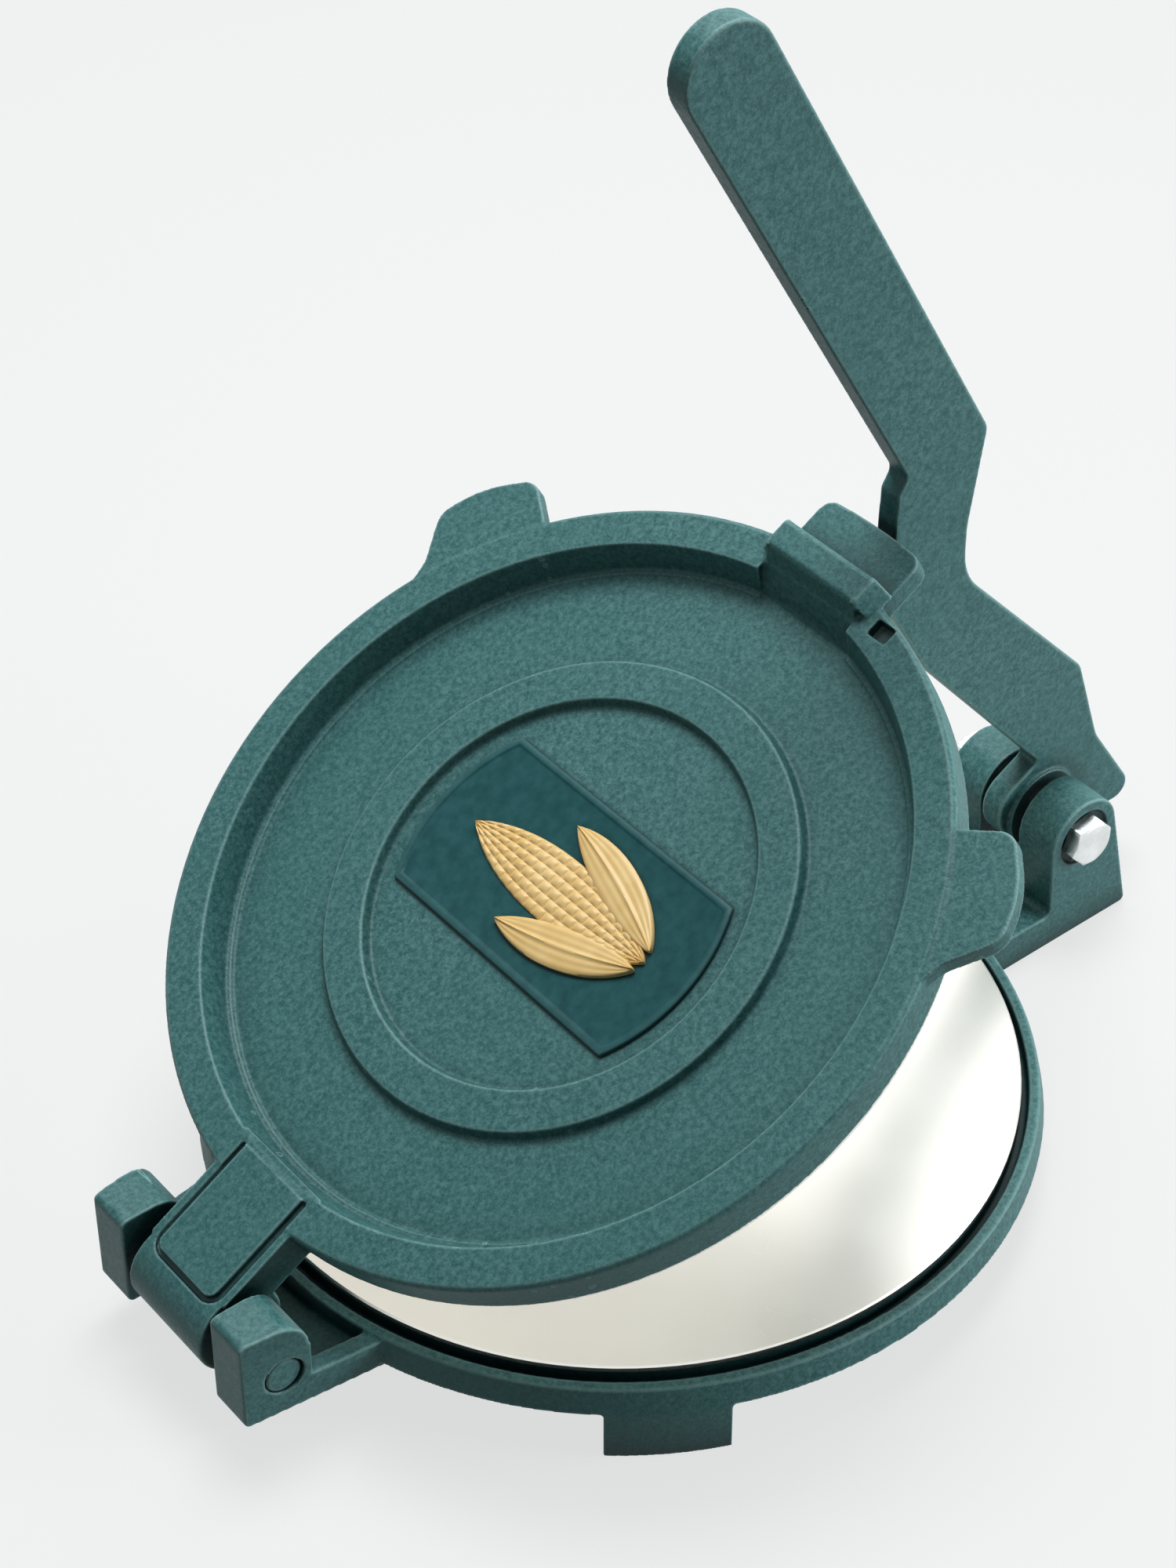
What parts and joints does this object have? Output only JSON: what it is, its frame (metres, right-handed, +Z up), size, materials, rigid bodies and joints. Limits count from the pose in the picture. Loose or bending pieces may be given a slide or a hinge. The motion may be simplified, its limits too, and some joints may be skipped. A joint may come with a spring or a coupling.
{
  "type": "tortilla press",
  "caption": "Round cast hand press: hinged lid with a flat plate over a flat base plate, closed by a long cranked lever.",
  "frame": {"origin": "centre of the pressing face of the base plate", "axes": "+Z up, +X from the hinge towards the lever pivot, hinge and pivot axes along Y; the table is 24.1 mm below the origin"},
  "size_m": [0.3202, 0.218, 0.3149],
  "materials": {
    "painted_casting": "fine hammered green powder coat",
    "plaque_paint": "green paint",
    "gold_paint": "pale gold paint",
    "plate_steel": "smooth pressing face",
    "zinc_steel": "bright zinc"
  },
  "bodies": {
    "base": {"base": "painted_casting", "base_plate": "plate_steel", "lever_bolt": "zinc_steel", "lever_nut": "zinc_steel"},
    "hinge_pin": {"hinge_pin": "painted_casting"},
    "lid": {"lid": "painted_casting", "lid_plate": "plate_steel", "badge_plaque": "plaque_paint", "badge_relief": "gold_paint"},
    "lever": {"lever": "painted_casting"}
  },
  "joints": [
    {"name": "lid_closing", "type": "hinge", "parent": "base", "child": "hinge_pin", "pos_m": [-0.127, 0, 0.0004], "axis": [0, -1, 0], "range_deg": [-30.1, 0]},
    {"name": "lid_opening", "type": "hinge", "parent": "hinge_pin", "child": "lid", "pos_m": [-0.127, 0, 0.0004], "axis": [0, -1, 0], "range_deg": [0, 150]},
    {"name": "lever_pivot", "type": "hinge", "parent": "base", "child": "lever", "pos_m": [0.1455, 0, 0.0094], "axis": [0, -1, 0], "range_deg": [-50, 0]}
  ],
  "couplings": [
    {"joint": "lever_pivot", "follows": "lid_closing", "ratio": 1.66}
  ]
}
